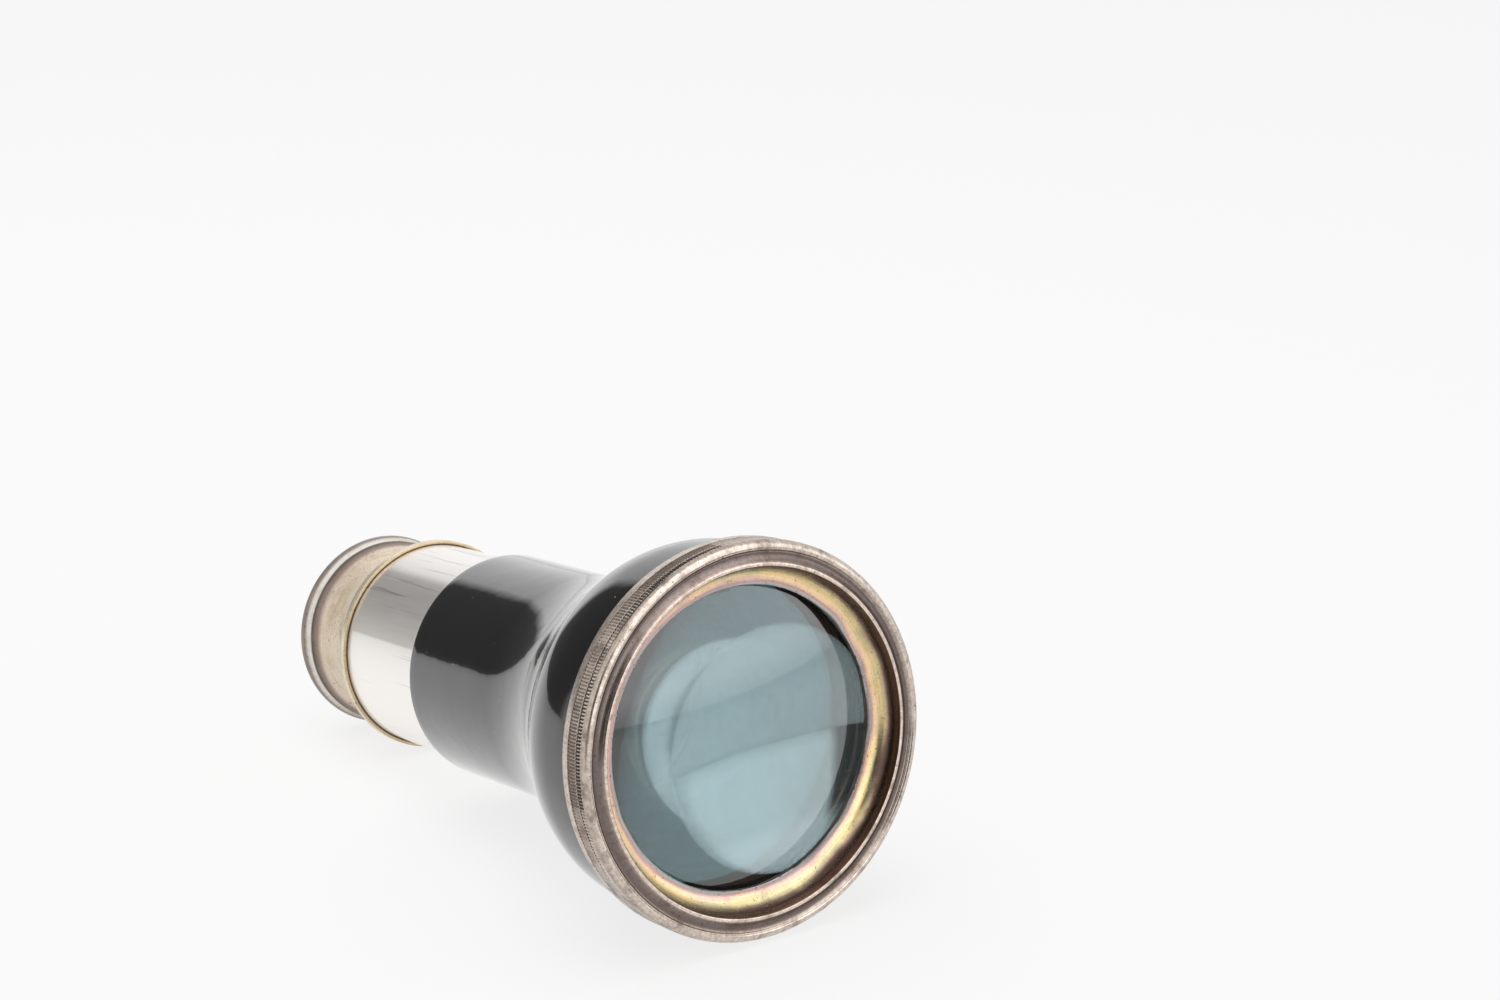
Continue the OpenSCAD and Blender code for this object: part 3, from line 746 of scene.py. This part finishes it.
class MONOCULAR_OT_objective_ring(Step, bpy.types.Operator):
    """Turn the objective ring: lip, cove, crest, groove, bead, milled band and threaded skirt"""

    bl_idname = "monocular.objective_ring"
    bl_label = "Objective ring"

    def execute(self, context):
        s = context.scene.monocular_objective
        milling = context.scene.monocular_milling
        crest_in = s.crest - s.crest_land / 2
        crest_out = s.crest + s.crest_land / 2
        bevel = 0.1 * MM
        line_height = 0.1 * MM
        line_half_width = 0.14 * MM
        core = s.ring_radius - milling.core
        outline = [(s.window + BROKEN, s.lip_front)]
        outline += arc((s.window + s.lip_width, s.lip_front - s.cove), s.cove, 90, 0, step=5)
        outline += [(crest_in - bevel, bevel), (crest_in - BROKEN / 2, BROKEN / 2), (crest_in + BROKEN, 0)]
        outline += [(crest_out - BROKEN, 0), (crest_out + BROKEN / 2, BROKEN / 2)]
        for share in spaced(0.05, 0.98, pitch=0.045):
            r = crest_out + bevel + (s.groove_end - crest_out - bevel) * share
            a = bevel + (s.bead_setback - bevel) * share + s.groove_depth * sin(pi * share)
            raised = max(0, 1 - ((r - s.fillet_line) / line_half_width) ** 2)
            outline.append((r, a - line_height * raised))
        outline += arc((s.groove_end, s.band_front), s.bead, -90, -4, step=5)
        outline += [
            (core, s.band_front),
            (core, s.band_back),
            (s.gap_floor, s.band_back),
            (s.gap_floor, s.gap_back),
            (s.skirt, s.gap_back),
            (s.skirt, CELL.back),
            (s.thread, CELL.back),
            (s.thread, FLINT.back - bevel),
            (CROWN.outer + s.fit, FLINT.back - bevel),
            (CROWN.outer + s.fit, s.seat),
            (s.window, s.seat),
            (s.window, s.lip_front + BROKEN),
        ]
        ring = turn("turned_objective_ring", outline)
        band = milled_band("ring_milling", s.ring_radius, s.band_front, s.band_back, milling)
        settle(join(ring, band), ring_plate(), "barrel", "plated_ring", "objective_cell")
        blacken(ring, lambda r, a: r < s.thread + WELD and a > s.lip_front + BROKEN / 2, LIT_COPY_OF_BLACK)
        return {"FINISHED"}


class MONOCULAR_OT_objective_lenses(Step, bpy.types.Operator):
    """Grind the two lenses of the objective"""

    bl_idname = "monocular.objective_lenses"
    bl_label = "Objective lenses"

    def execute(self, context):
        s = context.scene.monocular_objective
        finish = context.scene.monocular_finishes
        edge = CROWN.outer
        glass = lens_glass("Polished crown glass", finish.crown, CROWN_INDEX, shine=1.75)
        outline = face(CROWN.front, s.front_curve, edge, 1) + face(CROWN.back, s.inner_curve, edge, -1)[::-1]
        crown = turn("polished_crown_lens", outline, closed=False)
        settle(crown, glass, "barrel", "objective_glass", "crown_lens")
        glass = lens_glass("Polished flint glass", finish.flint, FLINT_INDEX, shine=2)
        hollow = s.inner_curve - sqrt(s.inner_curve ** 2 - edge ** 2)
        outline = face(FLINT.front + hollow, s.inner_curve, edge, -1) + [(edge, FLINT.back), (0, FLINT.back)]
        flint = turn("polished_flint_lens", outline, closed=False)
        settle(flint, glass, "barrel", "flint_glass", "flint_lens")
        glass = lens_glass("Polished flint glass, bright back face", finish.flint, FLINT_INDEX, shine=3.3)
        finish_part(flint, glass, lambda r, a: a > FLINT.back - SKIN)
        for lens in (crown, flint):
            blacken(lens, lambda r, a: r > edge - WELD - SKIN)
        return {"FINISHED"}


class MONOCULAR_OT_ferrule(Step, bpy.types.Operator):
    """Turn the ferrule behind the ring, with its milled band and plain lip"""

    bl_idname = "monocular.ferrule"
    bl_label = "Barrel ferrule"

    def execute(self, context):
        s = context.scene.monocular_barrel
        milling = context.scene.monocular_milling
        core = s.ferrule - milling.core
        band_back = s.band_front + s.band_width
        lip_back = DRUM.front
        outline = [(FERRULE.inner, FERRULE.front), (core, FERRULE.front), (core, band_back)]
        outline += [(s.ferrule - BROKEN, band_back), (s.ferrule, band_back + BROKEN)]
        outline += arc((s.ferrule - ROUNDED, lip_back - ROUNDED), ROUNDED, 0, 90, step=30)
        outline += [(s.sleeve, lip_back), (s.sleeve, FERRULE.back), (FERRULE.inner, FERRULE.back)]
        ferrule = turn("turned_ferrule", outline)
        band = milled_band("ferrule_milling", s.ferrule, s.band_front, band_back, milling)
        settle(join(ferrule, band), ferrule_plate(), "barrel", "plated_ferrule", "barrel_ferrule")
        return {"FINISHED"}


def barrel_skin(s, inset):
    """A function for the barrel's radius at a distance, set inwards by inset, and where its flare ends."""
    shoulder_middle = s.drum - s.shoulder_curve
    flare_middle = s.neck + s.flare_curve
    rise = flare_middle - shoulder_middle
    reach_along = sqrt((s.shoulder_curve + s.flare_curve) ** 2 - rise ** 2)
    flare_back = s.drum_top + reach_along
    meet = s.drum_top + reach_along * (s.shoulder_curve - inset) / (s.shoulder_curve + s.flare_curve)

    def radius(a):
        if a < s.drum_top:
            return s.drum - s.mouth_curve + sqrt((s.mouth_curve - inset) ** 2 - (a - s.drum_top) ** 2)
        if a < meet:
            return shoulder_middle + sqrt((s.shoulder_curve - inset) ** 2 - (a - s.drum_top) ** 2)
        if a < flare_back:
            return flare_middle - sqrt((s.flare_curve + inset) ** 2 - (a - flare_back) ** 2)
        return s.neck - inset

    return radius, flare_back


class MONOCULAR_OT_barrel(Step, bpy.types.Operator):
    """Spin the barrel's drum and trumpet, which meet in a fine seam"""

    bl_idname = "monocular.barrel"
    bl_label = "Lacquered barrel"

    def execute(self, context):
        s = context.scene.monocular_barrel
        outside, flare_back = barrel_skin(s, 0)
        inside, _ = barrel_skin(s, s.wall)
        lacquer = stoved_lacquer(context.scene.monocular_finishes)
        soft = s.seam_round
        bevel = 0.05 * MM
        mouth_bore = s.sleeve + s.lap
        mouth_back = FERRULE.back + 0.1 * MM
        outline = [(mouth_bore, DRUM.front), (outside(DRUM.front) - bevel, DRUM.front)]
        outline += [(outside(a), a) for a in spaced(DRUM.front + bevel, s.seam - soft, pitch=0.5 * MM)]
        outline += [(outside(s.seam) - soft / 4, s.seam - soft / 3), (outside(s.seam) - soft, s.seam)]
        outline += [(inside(a), a) for a in spaced(s.seam, mouth_back, pitch=0.7 * MM)]
        outline += [(mouth_bore, mouth_back)]
        drum = turn("lacquered_drum", outline)
        settle(drum, lacquer, "barrel", "black_lacquer", "barrel_drum")
        half_wall = s.wall / 2
        blacken(drum, lambda r, a: r < outside(a) - half_wall, LIT_COPY_OF_BLACK)
        end = TRUMPET.back
        spigot_bore = s.spigot - s.wall
        outline = [(spigot_bore, TRUMPET.front), (s.spigot, TRUMPET.front), (s.spigot, s.seam)]
        outline += [(outside(s.seam) - soft, s.seam), (outside(s.seam) - soft / 4, s.seam + soft / 3)]
        outline += [(outside(a), a) for a in spaced(s.seam + soft, flare_back, pitch=0.6 * MM)]
        outline += [(s.neck, a) for a in spaced(flare_back, end - s.end_round, pitch=1.2 * MM)[1:-1]]
        outline += arc((s.neck - s.end_round, end - s.end_round), s.end_round, 0, 90, step=15)
        outline += [(TRUMPET.inner, end), (TRUMPET.inner, end - s.wall), (s.neck - s.wall, end - s.wall)]
        outline += [(min(inside(a), spigot_bore), a) for a in spaced(flare_back, s.seam, pitch=1 * MM)]
        trumpet = turn("lacquered_trumpet", outline)
        settle(trumpet, lacquer, "barrel", "black_lacquer", "barrel_trumpet")
        blacken(trumpet, lambda r, a: r < outside(a) - half_wall and a < end - half_wall, LIT_COPY_OF_BLACK)
        return {"FINISHED"}


class MONOCULAR_OT_draw_tube(Step, bpy.types.Operator):
    """Turn the draw tube with its stop groove, and the collar screwed into its end"""

    bl_idname = "monocular.draw_tube"
    bl_label = "Draw tube and collar"

    def execute(self, context):
        s = context.scene.monocular_tube
        edge = s.edge
        outline = [(TUBE.inner, TUBE.front), (TUBE.outer - edge, TUBE.front), (TUBE.outer, TUBE.front + edge)]
        outline += [(TUBE.outer, STOP_RING.front), (s.groove, STOP_RING.front), (s.groove, STOP_RING.back)]
        outline += [(TUBE.outer, a) for a in spaced(STOP_RING.back, TUBE.back, pitch=2 * MM)]
        outline += [(TUBE.inner, TUBE.back)]
        tube = turn("polished_draw_tube", outline)
        silver = polished_silver(context.scene.monocular_finishes)
        settle(tube, silver, "draw", "polished_tube", "draw_tube")
        blacken(tube, lambda r, a: r < TUBE.inner + edge or a < TUBE.front + edge)
        outline = [(COLLAR.inner, COLLAR.front), (s.plug, COLLAR.front), (s.plug, TUBE.back)]
        outline += [(TUBE.outer + edge / 2, TUBE.back), (TUBE.outer + edge / 2, s.collar_front)]
        outline += arc((COLLAR.outer - edge, s.collar_front + edge), edge, -90, 0, step=30)
        outline += arc((COLLAR.outer - edge, COLLAR.back - edge), edge, 0, 90, step=30)
        outline += [(COLLAR.inner, COLLAR.back)]
        settle(turn("turned_tube_collar", outline), collar_plate(), "draw", "plated_collar", "draw_collar")
        return {"FINISHED"}


class MONOCULAR_OT_eyepiece(Step, bpy.types.Operator):
    """Turn the waisted eyepiece cup with its dish, the lens cell in it and the hollow eye lens"""

    bl_idname = "monocular.eyepiece"
    bl_label = "Eyepiece and eye lens"

    def execute(self, context):
        s = context.scene.monocular_eyepiece
        start = COLLAR.back
        rim_middle = (s.rim - s.rim_round, CUP.back - s.rim_round)
        waist_middle = s.waist + s.waist_curve

        def waist(a):
            return waist_middle - sqrt(s.waist_curve ** 2 - (a - s.waist_at) ** 2)

        # The waist's hollow runs into the rolled rim where the two circles touch
        touch = atan2(s.waist_at - rim_middle[1], waist_middle - rim_middle[0])
        meet = rim_middle[1] + s.rim_round * sin(touch)
        outline = [(s.plug, CUP.front), (s.plug, start)]
        bead_middle = (CUP.outer - s.shoulder_round, start + s.shoulder_round)
        outline += arc(bead_middle, s.shoulder_round, -90, 90, step=10)
        outline += [(waist(a), a) for a in spaced(s.waist_from, meet, pitch=0.35 * MM)]
        outline += arc(rim_middle, s.rim_round, degrees(touch), 90)[1:]
        land = 0.1 * MM
        width = rim_middle[0] - land - s.cell_bore
        for t in map(radians, range(0, 91, 6)):
            outline.append((s.cell_bore + width * cos(t), CUP.back - s.dish * sin(t)))
        outline += [
            (s.cell_bore, s.cell_seat),
            (s.throat, s.cell_seat),
            (s.throat, s.waist_from + (s.plug_bore - s.throat)),
            (s.plug_bore, s.waist_from),
            (s.plug_bore, CUP.front),
        ]
        settle(turn("turned_eyepiece_cup", outline), cup_plate(), "draw", "plated_cup", "eyepiece_cup")
        top = EYE_CELL.back - ROUNDED
        outline = [(s.lens_bore, EYE_CELL.front), (EYE_CELL.outer, EYE_CELL.front)]
        outline += [(EYE_CELL.outer, s.cell_seat), (s.cell, s.cell_seat)]
        outline += arc((s.cell - ROUNDED, top), ROUNDED, 0, 90, step=30)
        outline += arc((EYE_CELL.inner + ROUNDED, top), ROUNDED, 90, 180, step=30)
        outline += [(EYE_CELL.inner, EYE_LENS.back), (s.lens_bore, EYE_LENS.back)]
        settle(turn("turned_eye_lens_cell", outline), cell_plate(), "draw", "plated_cell", "eye_lens_cell")
        edge = EYE_LENS.outer
        hollow = s.lens_curve - sqrt(s.lens_curve ** 2 - edge ** 2)
        outline = face(EYE_LENS.front + hollow, s.lens_curve, edge, -1)
        outline += face(EYE_LENS.back - hollow, s.lens_curve, edge, 1)[::-1]
        lens = turn("polished_eye_lens", outline, closed=False, steps=128)
        glass = lens_glass("Polished eye lens glass", "#eef5f4", CROWN_INDEX, shine=1.5)
        settle(lens, glass, "draw", "eye_glass", "eye_lens")
        return {"FINISHED"}


class MONOCULAR_OT_inner_pieces(Step, bpy.types.Operator):
    """Finish the inner pieces, whose CAD shapes stay as they are"""

    bl_idname = "monocular.inner_pieces"
    bl_label = "Inner pieces"

    def execute(self, context):
        blackened = plain_metal("Chemically blackened brass, turned", "#2b2724", 0.55)
        finishes = {
            "foil_spacers": plain_metal("Aged tin foil, cut", "#5e5d5a", 0.5),
            "lens_retaining_ring": blackened,
            "guide_sleeve": plain_metal("Raw brass, turned", "#a58848", 0.35),
            "stop_ring": plain_metal("Spring brass, drawn", "#a5854a", 0.3),
            "eye_lens_ring": blackened,
        }
        for node, material in finishes.items():
            for slot in frame["nodes"][node].material_slots:
                slot.material = material
        return {"FINISHED"}


# Studio

def seen_sharply(tree, light):
    """1 for rays that show a surface, from the camera, mirrored or through glass, and 0 for all others."""
    bent = add(tree, "Math", [light["Is Glossy Ray"], light["Is Transmission Ray"]], operation="MAXIMUM")
    return add(tree, "Math", [light["Is Camera Ray"], bent], operation="MAXIMUM")


# Share of the floor's look that is plain white; the rest is paper that takes light and shadow
FLOOR_SHARE = 0.8


def floor_material():
    """White paper: it takes the object's shadow, and is drawn as white where it is lit."""
    material = bpy.data.materials.new("White paper sweep, matt")
    material.use_nodes = True
    tree = material.node_tree
    tree.nodes.clear()
    light = add(tree, "LightPath").outputs
    place = add(tree, "TexCoord").outputs["Object"]
    away = add(tree, "VectorMath", [place], operation="LENGTH").outputs["Value"]
    # What mirrors the floor shows it greyer far from the object
    grey = add(tree, "MapRange", [away, 0.15, 1.6, 1.0, 0.82])
    level = add(tree, "Mix", {0: light["Is Camera Ray"], 2: grey, 3: 1})
    white = add(tree, "Emission", {"Color": "#ffffff", "Strength": level})
    share = add(tree, "Math", [seen_sharply(tree, light), FLOOR_SHARE], operation="MULTIPLY")
    paper = add(tree, "BsdfDiffuse", ["#f3f3f3"])
    add(tree, "OutputMaterial", [add(tree, "MixShader", [share, paper, white])])
    return material


# A part of the white room with a level of its own. Its bearing, half its width, the softness of its edges,
# its bottom and its top are in degrees
Zone = namedtuple("Zone", "bearing half_width soft bottom top level")
DIM_BEHIND_EYEPIECE = Zone(199, 24, 3, -60, 60, 0.12)
DIM_BEHIND_CAMERA = Zone(-38, 17, 3, -60, 42, 0.17)
BRIGHT_SIDE = Zone(19, 44, 6, -1, 80, 1.65)
BRIGHT_CEILING = Zone(0, 70, 10, 32, 80, 1.3)
# Softness of every zone's top
TOP_SOFT = 8


def room_zone(tree, zone):
    """The room's level in a zone, and 1 elsewhere."""
    direction = add(tree, "TexCoord").outputs["Generated"]
    turned = add(tree, "VectorRotate", {
        "Vector": direction, "Angle": -radians(zone.bearing),
    }, rotation_type="Z_AXIS")
    parts = add(tree, "SeparateXYZ", [turned]).outputs
    off = add(tree, "Math", [parts["Y"], parts["X"]], operation="ARCTAN2")
    off = add(tree, "Math", [off], operation="ABSOLUTE")
    sides = (radians(zone.half_width - zone.soft), radians(zone.half_width + zone.soft))
    bottom = (sin(radians(zone.bottom)), sin(radians(zone.bottom + zone.soft)))
    top = (sin(radians(zone.top - TOP_SOFT)), sin(radians(zone.top + TOP_SOFT)))
    inside = add(tree, "MapRange", [off, *sides, 1, 0])
    for limit in ([parts["Z"], *bottom], [parts["Z"], *top, 1, 0]):
        inside = add(tree, "Math", [inside, add(tree, "MapRange", limit)], operation="MULTIPLY")
    return add(tree, "Math", [inside, zone.level - 1, 1], operation="MULTIPLY_ADD")


def studio_world(ambient):
    """A white room, as glossy pieces show it, with a bright side and ceiling and with two dim corners."""
    world = bpy.data.worlds.new("White room with two dim corners")
    world.use_nodes = True
    tree = world.node_tree
    tree.nodes.clear()
    light = add(tree, "LightPath").outputs
    level = 1
    for zone in (DIM_BEHIND_EYEPIECE, DIM_BEHIND_CAMERA, BRIGHT_SIDE, BRIGHT_CEILING):
        level = add(tree, "Math", [room_zone(tree, zone), level], operation="MULTIPLY")
    mirrored = add(tree, "Mix", {0: light["Is Camera Ray"], 2: level, 3: 1})
    strength = add(tree, "Mix", {0: seen_sharply(tree, light), 2: ambient, 3: mirrored})
    add(tree, "OutputWorld", [add(tree, "Background", ["#ffffff", strength])])
    return world


# The soft box over the object: its place, the side of its square face, and that face's level of brightness
LAMP_PLACE = (-0.1, -0.1, 0.9)
LAMP_SIDE = 0.8
LAMP_LEVEL = 2.0


class MONOCULAR_OT_studio(Step, bpy.types.Operator):
    """Set the floor, the light and the camera"""

    bl_idname = "monocular.studio"
    bl_label = "Studio"

    def execute(self, context):
        s = context.scene.monocular_studio
        clear_selection()
        bpy.ops.mesh.primitive_circle_add(vertices=64, radius=6, fill_type="NGON", location=(0, 0, 0))
        floor = context.object
        floor.name = "paper_floor"
        floor.data.materials.append(floor_material())
        context.scene.world = studio_world(s.ambient)
        clear_selection()
        bpy.ops.object.light_add(type="AREA", location=LAMP_PLACE)
        lamp = context.object
        lamp.name = "Overhead soft box"
        lamp.rotation_euler = (-lamp.location).to_track_quat("-Z", "Y").to_euler()
        lamp.data.shape = "SQUARE"
        lamp.data.size = LAMP_SIDE
        lamp.data.energy = LAMP_LEVEL * pi * LAMP_SIDE ** 2
        lamp.visible_camera = False
        lamp.visible_glossy = False
        across = Vector((cos(s.bearing), sin(s.bearing), 0))
        level = Vector((-sin(s.bearing), cos(s.bearing), 0))
        forward = level * cos(s.tilt) - Vector((0, 0, sin(s.tilt)))
        upward = level * sin(s.tilt) + Vector((0, 0, cos(s.tilt)))
        eye = CREST - across * s.right + upward * s.below - forward * s.distance
        clear_selection()
        bpy.ops.object.camera_add(location=eye)
        camera = context.object
        facing = Matrix((across, upward, -forward)).transposed().to_4x4()
        camera.matrix_world = Matrix.Translation(eye) @ facing
        camera.data.lens = s.lens
        camera.data.sensor_width = 36
        camera.data.clip_start = 0.01
        context.scene.camera = camera
        context.scene.view_settings.view_transform = "Standard"
        return {"FINISHED"}


class MONOCULAR_PT_panel(bpy.types.Panel):
    """Lists the steps in their order"""

    bl_label = "Draw-tube monocular"
    bl_idname = "MONOCULAR_PT_panel"
    bl_space_type = "VIEW_3D"
    bl_region_type = "UI"
    bl_category = "Monocular"

    def draw(self, context):
        for step in STEPS:
            self.layout.operator(step.bl_idname)


STEPS = (
    MONOCULAR_OT_studio,
    MONOCULAR_OT_objective_ring,
    MONOCULAR_OT_objective_lenses,
    MONOCULAR_OT_ferrule,
    MONOCULAR_OT_barrel,
    MONOCULAR_OT_draw_tube,
    MONOCULAR_OT_eyepiece,
    MONOCULAR_OT_inner_pieces,
)


def register():
    """Registers the sizes, the steps and the panel."""
    for name, group in GROUPS.items():
        bpy.utils.register_class(group)
        setattr(bpy.types.Scene, name, bpy.props.PointerProperty(type=group))
    for part in (*STEPS, MONOCULAR_PT_panel):
        bpy.utils.register_class(part)


def unregister():
    """Takes back what register did, in the other order."""
    for part in (MONOCULAR_PT_panel, *reversed(STEPS)):
        bpy.utils.unregister_class(part)
    for name, group in reversed(GROUPS.items()):
        delattr(bpy.types.Scene, name)
        bpy.utils.unregister_class(group)


def main():
    """Makes the whole model and its studio."""
    register()
    bpy.ops.monocular.studio()
    bpy.ops.monocular.objective_ring()
    bpy.ops.monocular.objective_lenses()
    bpy.ops.monocular.ferrule()
    bpy.ops.monocular.barrel()
    bpy.ops.monocular.draw_tube()
    bpy.ops.monocular.eyepiece()
    bpy.ops.monocular.inner_pieces()


if __name__ == "__main__":
    main()
